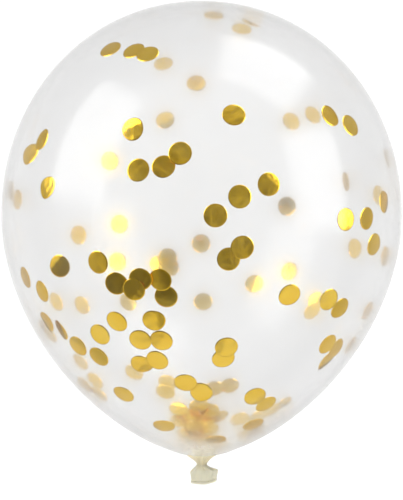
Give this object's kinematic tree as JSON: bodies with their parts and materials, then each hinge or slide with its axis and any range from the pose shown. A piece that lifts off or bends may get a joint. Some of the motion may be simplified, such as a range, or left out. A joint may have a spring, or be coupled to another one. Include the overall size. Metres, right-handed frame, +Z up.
{
  "type": "confetti balloon",
  "caption": "Clear latex party balloon with gold foil confetti discs inside, blown up to a drop shape, with a gathered neck, a squashed tail and a rolled lip.",
  "frame": {"origin": "middle of the small flat rest spot on the floor, straight below the balloon's widest ring", "axes": "+Y along the long axis towards the crown, with the neck and tail at -Y; +Z up, away from the rest spot; +X across the balloon"},
  "size_m": [0.285, 0.3441, 0.2836],
  "materials": {
    "clear_latex": "thin clear gloss film, slightly milky, ivory where it is thick at the neck",
    "gold_foil": "bright metallic gold foil"
  },
  "bodies": {
    "root": {"balloon": "clear_latex"}
  },
  "joints": []
}
